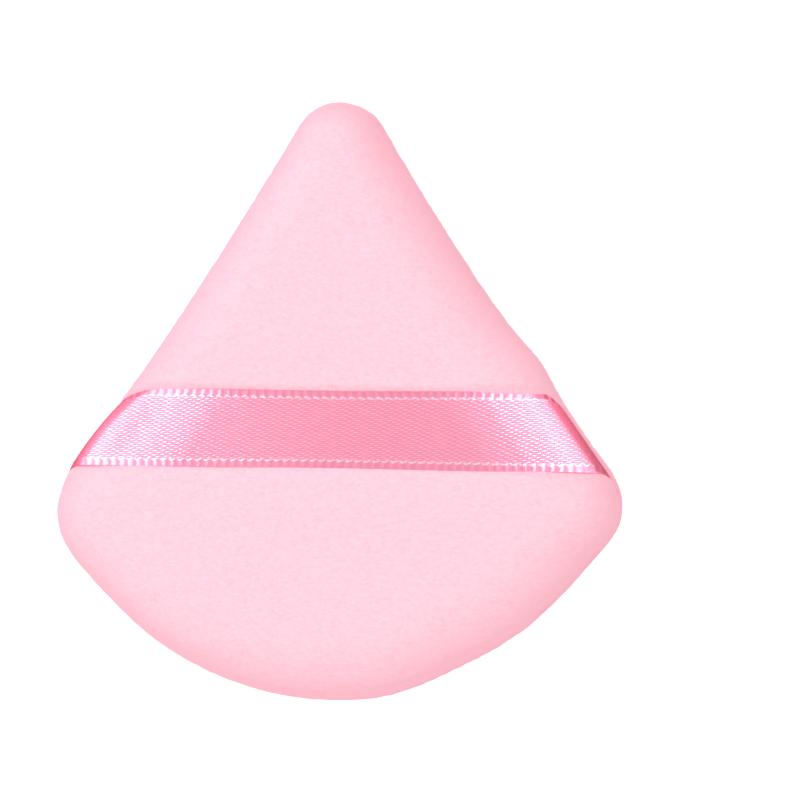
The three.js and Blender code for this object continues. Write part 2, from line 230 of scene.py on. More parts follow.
def crown_share(x, y):
    """All of the crown at the pole, none where the face rolls over: one minus two squares, squared."""
    across = x / (PUFF_WIDTH / 2 - EDGE_ROLL)
    along = (y - POLE_Y) / (TIP_Y - EDGE_ROLL - POLE_Y)
    return np.maximum(1 - across**2 - along**2, 0) ** 2


print("pole at", round(POLE_Y, 2), "mm")

# %% Rows of a cover
RIBBON_WIDTH, RIBBON_Y = 10.0, -3.6
GRID_POLE_Y = RIBBON_Y
ALLOWANCE_WIDTH, BED_DEPTH = 4.0, 0.64
TIP_TIGHTER, TIP_SPREAD = 0.46, 0.06
FACE_END, ROLL_END = 1.0, 2.0
FRONT = {"up": 1, "crown": FRONT_CROWN, "ribbon": True}
BACK = {"up": -1, "crown": 0.0, "ribbon": False}


def cover_rows(face_steps, roll_steps, lip_steps, under_steps):
    """Rows of a cover from beside the pole to the allowance's end: the face, then the section.

    Depth counts the rows: FACE_END where the face ends, ROLL_END where the roll ends.
    """
    inset, rise, out_in, out_up, progress, swing = edge_stations(
        roll_steps, lip_steps, under_steps, LIP_RADIUS + ALLOWANCE_WIDTH)
    face = np.linspace(0, 1, face_steps + 1)[1:-1]
    flat = np.ones_like(face)
    columns = {
        "shrink": (face, np.ones_like(inset)),
        "inset": (EDGE_ROLL * flat, inset),
        "rise": (FACE_RISE * flat, rise),
        "out_in": (0 * flat, out_in),
        "out_up": (flat, out_up),
        "progress": (0 * flat, progress),
        "bed": (BED_DEPTH * flat, BED_DEPTH - swing),
    }
    rows = {name: np.concatenate(pair)[:, None] for name, pair in columns.items()}
    rows["depth"] = np.concatenate([face, FACE_END + np.arange(len(inset)) / roll_steps])
    return rows


def tip_tightness(lap):
    """The share by which the roll is narrower round the tip: a bell along the lap, half a lap away."""
    return TIP_TIGHTER * np.exp(-(((lap - 0.5) / TIP_SPREAD) ** 2))


def placed(half, rows, lap, out):
    """Rows of a half moved out of the cloth by out: inset and rise change along the section's normal."""
    inset = rows["inset"] - tip_tightness(lap)[None, :] * rows["inset"] ** 2 / EDGE_ROLL
    x, y = outline(inset + rows["out_in"] * out, lap[None, :])
    x, y = x * rows["shrink"], GRID_POLE_Y + (y - GRID_POLE_Y) * rows["shrink"]
    rise = rows["rise"] + rows["out_up"] * out
    rise = rise * (1 + half["crown"] * crown_share(x, y) / FACE_RISE)
    return np.stack([x, y, SEAM_Z + half["up"] * rise], axis=-1)


# %% [markdown]
# ## The ribbon's bed
# The ribbon is pulled tight when its ends are sewn in. It presses a shallow bed into the velour, bites
# deeper where it nears the sides, along a line as slant as they are, and gets a narrow waist. Down the
# sides it slips towards the corners, sooner on the left than on the right. Cover and ribbon could be
# shaped apart and fitted by eye, but here both read the same functions, so they fit by themselves.

# %% How the tight ribbon lies: drift, bite, waist and bed
# Drift of the upper and the lower edge in millimetres, and how far down the side each drift starts
LEFT_DRIFT, RIGHT_DRIFT = (2.6, 1.3, 0.35, 0.65), (2.6, 0.8, 0.65, 0.65)
BITE, BITE_FROM, BITE_TO, BITE_SLANT = 0.8, 16.0, 30.0, 0.7
BITE_FADE_FROM, BITE_FADE_SPAN = 0.1, 0.8
WAIST, WAIST_TO = 0.035, 24.0
BED_SHOULDER, SHOULDER_INSIDE = 1.2, 0.45


def by_side(x, left, right):
    """Each of the left values where x is less than zero, and of the right values elsewhere."""
    return (np.where(x < 0, *pair) for pair in zip(left, right))


def drift(across, progress, x):
    """A line's slip towards the corner: a mix of both edges' drifts, times a smooth step down the side."""
    upper, lower, upper_from, lower_from = by_side(x, LEFT_DRIFT, RIGHT_DRIFT)
    share = across / RIBBON_WIDTH + 0.5
    start = lower_from + (upper_from - lower_from) * share
    return (lower + (upper - lower) * share) * smooth((progress - start) / (1 - start))


def bite(x, y, progress):
    """How much deeper the ribbon lies near the sides: a smooth step outwards that fades down the side."""
    outwards = np.abs(x) + BITE_SLANT * (y - RIBBON_Y)
    deep = smooth((outwards - BITE_FROM) / (BITE_TO - BITE_FROM))
    return BITE * deep * (1 - smooth((progress - BITE_FADE_FROM) / BITE_FADE_SPAN))


def waist(x):
    """The share of its width that the ribbon keeps: least in the middle, all of it before the sides."""
    return 1 - WAIST * (1 - smooth(np.abs(x) / WAIST_TO))


def beside_ribbon(points, rows):
    """Distance outside the ribbon's nearer edge, less than zero under the ribbon."""
    edge = RIBBON_WIDTH / 2
    wide = edge * waist(points[..., 0])
    upper = points[..., 1] - (RIBBON_Y + wide - drift(edge, rows["progress"], points[..., 0]))
    lower = (RIBBON_Y - wide - drift(-edge, rows["progress"], points[..., 0])) - points[..., 1]
    return np.maximum(upper, lower)


def bed_share(points, rows):
    """One under the ribbon, falling smoothly to zero over the shoulder beside it."""
    return 1 - smooth((beside_ribbon(points, rows) + SHOULDER_INSIDE) / BED_SHOULDER)


def pressed(half, rows, lap):
    """A half with the ribbon's bed pressed in, and the share of the bed at each point."""
    flat = placed(half, rows, lap, 0.0)
    bed = bed_share(flat, rows) if half["ribbon"] else 0 * flat[..., 0]
    deep = rows["bed"] + bite(flat[..., 0], flat[..., 1], rows["progress"])
    return placed(half, rows, lap, -deep * bed), bed


print("bed", BED_DEPTH, "mm deep, waist", round(RIBBON_WIDTH * waist(0.0), 2), "mm wide")

# %% [markdown]
# ## From arrays to meshes
# Covers, filling and threads are all stacks of rings, closed by a pole at each end. Blender's own
# primitives have no such shape, so the faces are worked out from the numbers of the points. Every piece
# is also moved to the right by about half a millimetre in the middle: no two sides of a puff sew alike.

# %% Faces, normals and objects
TINY = 1e-12
BOW, BOW_Y, BOW_SPREAD = 0.55, 2.0, 14.0


def ring_faces(rings, laps, up):
    """Quads between neighbouring rings of a grid that closes on itself, wound to face outwards."""
    r, c = np.meshgrid(np.arange(rings - 1), np.arange(laps), indexing="ij")
    n = (c + 1) % laps
    quads = np.stack([r * laps + c, (r + 1) * laps + c, (r + 1) * laps + n, r * laps + n], -1)
    return quads.reshape(-1, 4) if up > 0 else quads.reshape(-1, 4)[:, ::-1]


def pole_faces(pole, ring_start, laps, up):
    """Triangles from a pole to the ring beside it."""
    c = np.arange(laps)
    fan = np.stack([np.full(laps, pole), ring_start + c, ring_start + (c + 1) % laps], -1)
    return fan if up > 0 else fan[:, ::-1]


def closed_faces(rings, laps, up):
    """Faces over a stack of rings and the two poles that are stored after them."""
    return [
        ring_faces(rings, laps, up),
        pole_faces(rings * laps, 0, laps, up),
        pole_faces(rings * laps + 1, (rings - 1) * laps, laps, -up),
    ]


def triangles(faces):
    """How many triangles the faces make: two fewer than corners in each."""
    return sum(len(f) * (f.shape[1] - 2) for f in faces)


def grid_normals(points, up):
    """Outward normals of a grid that closes on itself along its second axis: down the rows times along."""
    down = np.gradient(points, axis=0)
    along = np.roll(points, -1, axis=1) - np.roll(points, 1, axis=1)
    normal = np.cross(down, along) * up
    return normal / np.maximum(np.linalg.norm(normal, axis=-1, keepdims=True), TINY)


def new_object(name, points, faces):
    """A mesh object at the origin from points in millimetres and arrays of faces."""
    mesh = bpy.data.meshes.new(name)
    mesh.from_pydata((points * MM).tolist(), [], sum((f.tolist() for f in faces), []))
    mesh.polygons.foreach_set("use_smooth", np.ones(len(mesh.polygons), bool))
    mesh.update()
    piece = bpy.data.objects.new(name, mesh)
    bpy.context.scene.collection.objects.link(piece)
    return piece


def sewn_piece(name, points, faces):
    """A piece of the puff, moved aside by a bell along the puff."""
    aside = BOW * np.exp(-(((points[:, 1] - BOW_Y) / BOW_SPREAD) ** 2))
    return new_object(name, points + aside[:, None] * [1, 0, 0], faces)


def store(piece, name, values):
    """Keep one value for each point of a piece, for its finish to read."""
    layer = piece.data.attributes.new(name, "FLOAT", "POINT")
    layer.data.foreach_set("value", values.astype(np.float32))


# %% [markdown]
# ## Swelling the cloth
# A real puff is plump because the filling pushes the velour out between the seam and the tight ribbon.
# It could be drawn by hand, but a cloth simulation with inner pressure finds the swelling by itself.
# A coarse closed skin is held at the seam, under the ribbon and where it lies on the table, and blown up
# for two dozen frames at ten times its size, where the solver's usual settings work. Only how far each
# point moved out is kept, and it is laid over the fine grid afterwards.

# %% A pressure simulation
SIM_SCALE, SIM_FRAMES, SIM_PRESSURE = 10.0, 24, 5.0


def swollen(points, faces, held):
    """The points after a pressure simulation in which the held ones stay."""
    piece = new_object("swelling_skin", points * SIM_SCALE, faces)
    group = piece.vertex_groups.new(name="held")
    group.add(np.flatnonzero(held).tolist(), 1.0, "REPLACE")
    cloth = piece.modifiers.new("swell", "CLOTH")
    cloth.settings.quality = 8
    cloth.settings.mass = 0.3
    cloth.settings.tension_stiffness = 12
    cloth.settings.compression_stiffness = 12
    cloth.settings.shear_stiffness = 4
    cloth.settings.bending_stiffness = 0.6
    cloth.settings.vertex_group_mass = "held"
    cloth.settings.use_pressure = True
    cloth.settings.uniform_pressure_force = SIM_PRESSURE
    cloth.settings.effector_weights.gravity = 0
    cloth.point_cache.frame_start = 1
    cloth.point_cache.frame_end = SIM_FRAMES
    for step in range(1, SIM_FRAMES + 1):
        bpy.context.scene.frame_set(step)
    evaluated = piece.evaluated_get(bpy.context.evaluated_depsgraph_get())
    moved = np.empty(len(points) * 3)
    evaluated.data.vertices.foreach_get("co", moved)
    mesh = piece.data
    bpy.data.objects.remove(piece)
    bpy.data.meshes.remove(mesh)
    bpy.context.scene.frame_set(1)
    return moved.reshape(-1, 3) / (MM * SIM_SCALE)


# %% The coarse skin and how far it swells
SIM_LAPS, SIM_FACE, SIM_ROLL = 180, 24, 14
ON_TABLE_TO, HELD_FROM = FACE_END + 0.02, 0.6
SWELL_CAP = 0.75


def coarse_half(half, lap, rows):
    """Points of one half for the simulation, and which are held: in the bed, and on the table."""
    points, bed = pressed(half, rows, lap)
    on_table = (half["up"] < 0) & (rows["depth"] < ON_TABLE_TO)[:, None]
    return points, (bed > HELD_FROM) | on_table


def swelling():
    """How far each point of a coarse skin moves out, for the front and for the back, in millimetres.

    A hyperbolic tangent keeps it under the cap.
    """
    lap = np.arange(SIM_LAPS) / SIM_LAPS
    rows = {k: v[: SIM_FACE + SIM_ROLL] for k, v in cover_rows(SIM_FACE, SIM_ROLL, 1, 1).items()}
    front, front_held = coarse_half(FRONT, lap, rows)
    back, back_held = coarse_half(BACK, lap, rows)
    x, y = outline(np.full(SIM_LAPS, LIP_RADIUS / 2), lap)
    seam = np.stack([x, y, np.full(SIM_LAPS, SEAM_Z)], -1)
    seam_held = np.ones(SIM_LAPS, bool)
    poles = np.array([[0, GRID_POLE_Y, front[0, :, 2].mean()], [0, GRID_POLE_Y, 0]])
    points = np.concatenate([np.concatenate([front, seam[None], back[::-1]]).reshape(-1, 3), poles])
    held = np.concatenate([front_held.ravel(), seam_held, back_held[::-1].ravel(), [False, True]])
    rings = 2 * len(front) + 1
    moved = swollen(points, closed_faces(rings, SIM_LAPS, 1), held) - points
    moved = moved[: -len(poles)].reshape(rings, SIM_LAPS, 3)
    out_front = (moved[: len(front)] * grid_normals(front, 1)).sum(-1)
    out_back = (moved[len(front) + 1 :][::-1] * grid_normals(back, -1)).sum(-1)
    print("swelling up to", np.round([out_front.max(), out_back.max()], 3), "mm, front and back")
    halves = ((front, out_front), (back, out_back))
    return [(points, SWELL_CAP * np.tanh(out / SWELL_CAP)) for points, out in halves]


SWELL = swelling()

# %% Laying the swelling over a fine grid
MAP_HALF, MAP_CELL, MAP_BLUR = 44.0, 1.0, 1.8
FEWEST = 1e-3


def laid_over(coarse, out, fine):
    """Coarse moves at fine points: averaged on a map from above, blurred by a bell, read between cells."""
    cells = np.arange(-MAP_HALF, MAP_HALF + MAP_CELL, MAP_CELL)
    flat = coarse.reshape(-1, 3)
    count = np.histogram2d(flat[:, 0], flat[:, 1], (cells, cells))[0]
    total = np.histogram2d(flat[:, 0], flat[:, 1], (cells, cells), weights=out.ravel())[0]
    wave = np.fft.fftfreq(len(count), MAP_CELL)
    bell = np.exp(-2 * (np.pi * MAP_BLUR) ** 2 * (wave[:, None] ** 2 + wave[None, :] ** 2))
    count, total = (np.real(np.fft.ifft2(np.fft.fft2(grid) * bell)) for grid in (count, total))
    field = total / np.maximum(count, FEWEST)
    at = (fine[..., :2] + MAP_HALF) / MAP_CELL - 0.5
    low = np.floor(at).astype(int)
    (i, j), (s, t) = np.moveaxis(low, -1, 0), np.moveaxis(at - low, -1, 0)
    left = field[i, j] * (1 - t) + field[i, j + 1] * t
    right = field[i + 1, j] * (1 - t) + field[i + 1, j + 1] * t
    return left * (1 - s) + right * s


# %% [markdown]
# ## The velour covers
# Velour is a knitted ground with a short upright pile. From a step away it is a matt, even pink, and
# close up the pile stands in tufts about a millimetre apart that catch the light. The tufts could be a
# bump in the material, but here they are in the mesh, as noise that moves each point along its normal,
# so the shape keeps them wherever it goes. A few shallow puckers run into the seam, and deeper ones stand
# at the hand stitches and at the ribbon's ends, where the sewing pulls most.

# %% Tufts as noise
LATTICE = 64


def tuft_noise(points, cell, seed):
    """Noise from -1 to 1: random values on a lattice, mixed by the smooth step in three directions."""
    lattice = np.random.default_rng(seed).uniform(-1, 1, (LATTICE, LATTICE, LATTICE))
    at = points / np.asarray(cell)
    low = np.floor(at).astype(int)
    part = smooth(at - low)
    total = 0.0
    for corner in np.ndindex(2, 2, 2):
        weight = np.prod(np.where(corner, part, 1 - part), axis=-1)
        i, j, k = np.moveaxis((low + corner) % LATTICE, -1, 0)
        total = total + weight * lattice[i, j, k]
    return total


# %% Puckers along the seam
PUCKERS, PUCKER_DEPTH, PUCKER_WIDTH = 8, 0.07, 1.6
SHALLOWEST, NARROWEST, WIDEST = 0.3, 0.7, 1.4
HAND_PUCKERS, HAND_DEPTH = np.array([31.3, 40.0]), 0.22
RIBBON_PUCKER_Y, RIBBON_PUCKER_DEPTH = -10.9, 0.3
PUCKER_GROWTH, PUCKER_LATE = 1.4, 0.2
HALF_LAP_STEPS = 2001


def puckers(lap, rows, seed):
    """Dips square to the seam: a bell along the seam, fading with the distance from it."""
    random = np.random.default_rng(seed)
    half_lap = np.linspace(0, 0.5, HALF_LAP_STEPS)
    ribbon_end = np.interp(RIBBON_PUCKER_Y, outline(0.0, half_lap)[1], half_lap)
    chance_place = random.uniform(0, 1, PUCKERS)
    chance_depth = random.uniform(SHALLOWEST, 1, PUCKERS) * PUCKER_DEPTH
    sewn_place = [*(HAND_PUCKERS / LAP_LENGTH), ribbon_end, 1 - ribbon_end]
    sewn_depth = [HAND_DEPTH, HAND_DEPTH, RIBBON_PUCKER_DEPTH, RIBBON_PUCKER_DEPTH]
    place = np.concatenate([chance_place, sewn_place])[:, None]
    deep = np.concatenate([chance_depth, sewn_depth])[:, None]
    wide = random.uniform(NARROWEST, WIDEST, len(place))[:, None] * PUCKER_WIDTH / LAP_LENGTH
    away = np.abs((lap[None, :] - place + 0.5) % 1 - 0.5)
    along = (deep * np.exp(-((away / wide) ** 2))).sum(axis=0)
    fade = smooth(rows["progress"] * PUCKER_GROWTH - PUCKER_LATE) * (rows["depth"] <= ROLL_END)[:, None]
    return along[None, :] * fade


# %% The inside of a cover
COVER_WALL, ALLOWANCE_THICKNESS = 1.8, 1.4
LINING_ROLL, LINING_FACE = 9, 6
ALLOWANCE_TOP = SEAM_HALF_GAP + ALLOWANCE_THICKNESS


def inner_roll(turn, within, top):
    """Inset and rise of a roll inside the cover: the section's powers between the allowance and a top."""
    inset = EDGE_ROLL - (EDGE_ROLL - within) * np.cos(turn) ** SECTION_POWER
    return inset, ALLOWANCE_TOP + (top - ALLOWANCE_TOP) * np.sin(turn) ** SECTION_POWER


def lining_rings(half, lap):
    """The inside of a cover: allowance end, its upper side, the inner roll and the inner face."""
    turn = np.linspace(0, QUARTER_TURN, LINING_ROLL)
    face = np.linspace(1, 0, LINING_FACE)[1:-1]
    roll_in, roll_up = inner_roll(turn, COVER_WALL, FACE_RISE - COVER_WALL)
    inset = np.concatenate([[LIP_RADIUS + ALLOWANCE_WIDTH], roll_in, 0 * face + EDGE_ROLL])
    rise = np.concatenate([[ALLOWANCE_TOP], roll_up, 0 * face + FACE_RISE - COVER_WALL])
    shrink = np.concatenate([np.ones(len(turn) + 1), face])
    still = 0 * inset
    rows = {"inset": inset, "rise": rise, "shrink": shrink, "out_in": still, "out_up": still}
    return placed(half, {name: values[:, None] for name, values in rows.items()}, lap, 0.0)


# %% Both covers
LAPS, FACE_STEPS, ROLL_STEPS, LIP_STEPS, UNDER_STEPS = 640, 72, 36, 8, 3
SWELL_FADE, TUFT_END, TUFT_FADE = 0.25, 2.1, 0.15
TUFT_CELL, FINE_TUFT_CELL = (0.8, 0.65, 0.8), 0.42
TUFT_HEIGHT, FINE_TUFT_HEIGHT, BACK_TUFTS = 0.042, 0.025, 1.7
# The pile's height sets its colour: paler on the highest tufts, a painted highlight, with painted shade
# between
PILE_MIDDLE, PILE_TUFTS, PILE_FINE = 0.5, 0.35, 0.25
# Painted shade over the rolled edge: where it starts along the section and how far it takes to grow
EDGE_SHADE_FROM, EDGE_SHADE_SPAN = 0.15, 0.7


def velour_cover(name, half, swell, seed, tufted):
    """A closed cover: swollen, pressed and tufted outside, then lip, allowance and lining.

    Its points keep the height of the pile, which pales the colour on the highest tufts as a painted
    highlight, and how far the cloth has rolled over the edge, for painted shade there.
    """
    lap = np.arange(LAPS) / LAPS
    rows = cover_rows(FACE_STEPS, ROLL_STEPS, LIP_STEPS, UNDER_STEPS)
    outer, bed = pressed(half, rows, lap)
    if swell is not None:
        out = laid_over(*swell, outer)
        out = out * smooth((ROLL_END - rows["depth"]) / SWELL_FADE)[:, None] * (1 - bed)
        outer = outer + grid_normals(outer, half["up"]) * out[..., None]
    tufts = tuft_noise(outer, TUFT_CELL, seed)
    fine = tuft_noise(outer, FINE_TUFT_CELL, seed + 1)
    skin = smooth((TUFT_END - rows["depth"]) / TUFT_FADE)[:, None] * (1 - bed)
    move = tufted * (TUFT_HEIGHT * tufts + FINE_TUFT_HEIGHT * fine) * skin
    move = move - puckers(lap, rows, seed + 2) * (1 - bed)
    outer = outer + grid_normals(outer, half["up"]) * move[..., None]
    if half["up"] < 0:
        outer[..., 2] = np.maximum(outer[..., 2], 0.0)
    inner = lining_rings(half, lap)
    rings = np.concatenate([outer, inner])
    poles = np.array([[0, GRID_POLE_Y, ring[:, 2].mean()] for ring in (outer[0], inner[-1])])
    faces = closed_faces(len(rings), LAPS, half["up"])
    piece = sewn_piece(name, np.concatenate([rings.reshape(-1, 3), poles]), faces)
    # Paler colour on the highest tufts and deeper between them: a painted highlight and painted shade
    pile = PILE_MIDDLE + tufted * (PILE_TUFTS * tufts + PILE_FINE * fine)
    # Painted shade that grows as the cloth rolls over the edge
    rolled = smooth((rows["progress"] - EDGE_SHADE_FROM) / EDGE_SHADE_SPAN) + 0 * bed
    inside = np.zeros(len(inner) * LAPS + len(poles))
    store(piece, "pile", np.concatenate([pile.ravel(), inside]))
    store(piece, "rolled", np.concatenate([rolled.ravel(), inside]))
    print(name, "triangles", triangles(faces), "height", round(np.ptp(outer[..., 2]), 2), "mm")
    return piece


front_velour = velour_cover("velour_front", FRONT, SWELL[0], seed=11, tufted=1.0)
back_velour = velour_cover("velour_back", BACK, SWELL[1], seed=23, tufted=BACK_TUFTS)

# %% [markdown]
# ## The satin ribbon
# A ten millimetre ribbon lies across the front, turns down over the slanted sides and ends between the
# two allowances. Its left end is a little loose and stands off the pile. Satin has long floats of warp
# along the ribbon, and a woven edge of short bars with one thread along its inner side. A picture of satin
# could be laid on a strip, but a weave in the mesh shines as threads do. The ribbon is a grid along and
# across: first the bare band, spaced evenly along its length, then the weave as a height on top of it.

# %% The bare band
SOLID_LIP, TAIL_PAST_STITCHES = 1.2, 1.4
STITCH_INSET = SOLID_LIP + ALLOWANCE_WIDTH / 2
TAIL_END = STITCH_INSET + TAIL_PAST_STITCHES
BAND_FACE, BAND_ROLL, BAND_LIP, BAND_TAIL = 201, 90, 24, 30
LEFT_LOOSE, LOOSE_POWER = 0.5, 1.5


def half_band(across, out, side):
    """Lines of one half, to the right: straight over the face, then down the section, drifting aside.

    Side is less than zero for the left half, which is looser by one minus a square across the ribbon.
    """
    stations = edge_stations(BAND_ROLL, BAND_LIP, BAND_TAIL, TAIL_END)
    inset, rise, out_in, out_up, progress, swing = (station[:, None] for station in stations)
    across = across[None, :]
    y = RIBBON_Y + across
    face_x = reach(y, EDGE_ROLL) * np.linspace(0, 1, BAND_FACE)[:-1, None]
    face_y = RIBBON_Y + across * waist(face_x)
    face_rise = FACE_RISE + out - bite(face_x, y, 0.0)
    if side < 0:
        slack = LEFT_LOOSE * (1 - (2 * across / RIBBON_WIDTH) ** 2)
        swing = swing + slack * (swing / RIBBON_STAND_OFF) ** LOOSE_POWER
    edge_y = y - drift(across, progress, side)
    edge_out = out + swing - bite(reach(edge_y, inset), edge_y, progress)
    edge_x = reach(edge_y, inset + out_in * edge_out)
    x, y = np.concatenate([face_x, edge_x]), np.concatenate([face_y, edge_y])
    rise = np.concatenate([face_rise, rise + out_up * edge_out])
    rise = rise * (1 + FRONT_CROWN * crown_share(x, y) / FACE_RISE)
    return np.stack([x, y, SEAM_Z + rise], -1)


def band(across, out, steps):
    """The whole band at even steps along its middle line, and each point's length along its own line."""
    left = half_band(across, out, -1)[:0:-1] * [-1, 1, 1]
    path = np.concatenate([left, half_band(across, out, 1)])
    middle = path[:, len(across) // 2]
    length = np.concatenate([[0], np.cumsum(np.linalg.norm(np.diff(middle, axis=0), axis=1))])
    even = np.linspace(0, length[-1], steps)
    at = np.interp(even, length, np.arange(len(length)))
    low = np.minimum(at.astype(int), len(path) - 2)
    part = (at - low)[:, None, None]
    points = path[low] * (1 - part) + path[low + 1] * part
    own = np.cumsum(np.linalg.norm(np.diff(points, axis=0, prepend=points[:1]), axis=-1), axis=0)
    return points, own - own[steps // 2]


# %% The weave as heights
SELVEDGE, EDGE_BLEND, RIM_ROUND = 0.95, 0.08, 0.25
ROW_PITCH, ROW_SLANT, FLOAT_REPEAT, FLOAT_SHIFT = 0.26, 0.07, 1.155, 0.47
FLOAT_POWER, DIP_POWER, DEEP_DIP, SHALLOW_DIP = 1.6, 1.8, 0.7, 0.25
BAR_PITCH, BAR_POWER = 1.155, 1.2
THREAD_WAVE, THREAD_HALF, THREAD_LAG, THREAD_DIP_POWER = 0.1, 0.1, 1.0, 4


def satin_height(along, across):
    """Floats: half a wave across each row, times one minus two dips along it, each row shifted on."""
    rows = (across - ROW_SLANT * along) / ROW_PITCH
    row = np.floor(rows)
    in_row = rows - row - 0.5
    turn = 2 * np.pi * (along / FLOAT_REPEAT + FLOAT_SHIFT * row)
    deep, shallow = ((0.5 - 0.5 * np.cos(k * turn)) ** DIP_POWER for k in (1, 2))
    rounded = np.maximum(np.cos(np.pi * in_row), 0) ** FLOAT_POWER
    return rounded * (1 - DEEP_DIP * deep - SHALLOW_DIP * shallow)


def selvedge_height(along, across):
    """Bars over the woven edge, and a thread that waves along its inner side and dips once a bar."""
    from_edge = RIBBON_WIDTH / 2 - np.abs(across)
    turn = 2 * np.pi * along / BAR_PITCH
    bar = (0.5 + 0.5 * np.cos(turn)) ** BAR_POWER
    thread_at = SELVEDGE + THREAD_WAVE * np.sin(turn)
    dips = (0.5 - 0.5 * np.cos(turn + THREAD_LAG)) ** THREAD_DIP_POWER
    thread = np.exp(-(((from_edge - thread_at) / THREAD_HALF) ** 2)) * (1 - dips)
    rounded = np.sqrt(np.clip(from_edge / RIM_ROUND, 0, 1))
    return bar * rounded, thread


def woven_edge_share(across):
    """One on the woven edges and zero on the satin: a smooth step where they meet."""
    return smooth((np.abs(across) - (RIBBON_WIDTH / 2 - SELVEDGE)) / EDGE_BLEND + 0.5)


# %% The ribbon with its weave
ALONG_STEPS, SATIN_STEPS, EDGE_STEPS, UNDER_LINES = 601, 124, 12, 5
RIBBON_THICKNESS, RIBBON_SINK = 0.24, 0.45
FLOAT_HEIGHT, BAR_HEIGHT, EDGE_THREAD_HEIGHT = 0.034, 0.018, 0.03
# Painted shade where the band turns down: the upward part of the normal below which it starts, its span,
# and the edge's lead
TURNED_SHADE_LEFT, TURNED_SHADE_RIGHT = (0.93, 0.10, 0.03), (0.72, 0.18, 0.2)
EDGE_TONE = 0.2


def ribbon_faces(steps, upper_lines, under_lines):
    """Quads of the upper grid, the under grid and the two long rims, then one face for each end."""
    top = np.arange(steps * upper_lines).reshape(steps, upper_lines)
    low = top.size + np.arange(steps * under_lines).reshape(steps, under_lines)
    quads = [
        (top[:-1, :-1], top[1:, :-1], top[1:, 1:], top[:-1, 1:]),
        (low[:-1, :-1], low[:-1, 1:], low[1:, 1:], low[1:, :-1]),
        (top[:-1, 0], low[:-1, 0], low[1:, 0], top[1:, 0]),
        (top[1:, -1], low[1:, -1], low[:-1, -1], top[:-1, -1]),
    ]
    ends = [np.concatenate([top[0], low[0, ::-1]]), np.concatenate([top[-1, ::-1], low[-1]])]
    return [np.stack(corners, -1).reshape(-1, 4) for corners in quads] + [end[None, :] for end in ends]


def satin_ribbon(name):
    """The band with its weave on the upper side and a plain under side, closed along its rim.

    Its points keep the height of the floats, bars and edge thread, a tone that paints sheen on the floats
    and shade in the gaps, and how far the band has turned down, for painted shade there.
    """
    edge = np.linspace(RIBBON_WIDTH / 2, RIBBON_WIDTH / 2 - SELVEDGE, EDGE_STEPS + 1)
    inner = np.linspace(-edge[-1], edge[-1], SATIN_STEPS + 1)
    lines = np.concatenate([-edge[:-1], inner, edge[:-1][::-1]])
    mid, along = band(lines, -RIBBON_SINK, ALONG_STEPS)
    across = np.broadcast_to(lines, along.shape)
    normal = np.cross(np.gradient(mid, axis=0), np.gradient(mid, axis=1))
    normal /= np.linalg.norm(normal, axis=-1, keepdims=True)
    floats, woven_edge = satin_height(along, across), woven_edge_share(across)
    bars, thread = selvedge_height(along, across)
    weave = (1 - woven_edge) * FLOAT_HEIGHT * floats + woven_edge * BAR_HEIGHT * bars
    weave = weave + EDGE_THREAD_HEIGHT * thread
    upper = mid + normal * (RIBBON_THICKNESS / 2 + weave)[..., None]
    under_lines = np.linspace(0, len(lines) - 1, UNDER_LINES).astype(int)
    under = (mid - normal * RIBBON_THICKNESS / 2)[:, under_lines]
    faces = ribbon_faces(ALONG_STEPS, len(lines), UNDER_LINES)
    piece = sewn_piece(name, np.concatenate([upper.reshape(-1, 3), under.reshape(-1, 3)]), faces)
    flat = np.stack([along, across], -1)
    flat = np.concatenate([flat.reshape(-1, 2), flat[:, under_lines].reshape(-1, 2)])
    corner = np.empty(len(piece.data.loops), int)
    piece.data.loops.foreach_get("vertex_index", corner)
    piece.data.uv_layers.new(name="weave").data.foreach_set("uv", (flat[corner] / RIBBON_WIDTH).ravel())
    shade_from, shade_span, edge_lead = by_side(mid[..., 0], TURNED_SHADE_LEFT, TURNED_SHADE_RIGHT)
    kept = {
        # Painted sheen on the floats, painted shade in the gaps, and the woven edge's own tone
        "tone": (1 - woven_edge) * floats + woven_edge * EDGE_TONE,
        "bars": woven_edge * bars,
        "raised": (1 - woven_edge) * floats + woven_edge * bars,
        "edge_thread": thread,
        # Painted shade where the band turns down over the sides, sooner on the left and on the upper woven
        # edge
        "turned": smooth((shade_from + edge_lead * woven_edge * (across > 0) - normal[..., 2]) / shade_span),
    }
    bare = np.zeros(ALONG_STEPS * UNDER_LINES)
    for attribute, values in kept.items():
        store(piece, attribute, np.concatenate([values.ravel(), bare]))
    length = np.ptp(along[:, len(lines) // 2])
    print(name, "length", round(length, 2), "mm, triangles", triangles(faces))
    return piece, length


ribbon, RIBBON_LENGTH = satin_ribbon("satin_ribbon")

# %% [markdown]
# ## The filling
# Inside are a die-cut sponge and two layers of bonded fibre. Nobody sees them in use, but the part can be
# taken apart, so they get their own shape: the sponge with open pores on its cut faces, the fibre with
# soft lumps. A displacement modifier could roughen plain blocks, but rings of the same outline keep the
# filling inside the covers. Both are closed stacks of rings, moved along their normals by noise.

# %% Stacks of rings
FILL_LAPS = 240


def rings_from(inset, shrink, rise, lift):
    """Rings of the outline at an inset, shrunk towards the pole, at a rise plus a part of the crown."""
    lap = np.arange(FILL_LAPS) / FILL_LAPS
    inset, shrink, rise, lift = (values[:, None] for values in (inset, shrink, rise, lift))
    x, y = outline(inset, lap[None, :])
    x, y = x * shrink, POLE_Y + (y - POLE_Y) * shrink
    return np.stack([x, y, SEAM_Z + (rise + lift * crown_share(x, y))], -1)


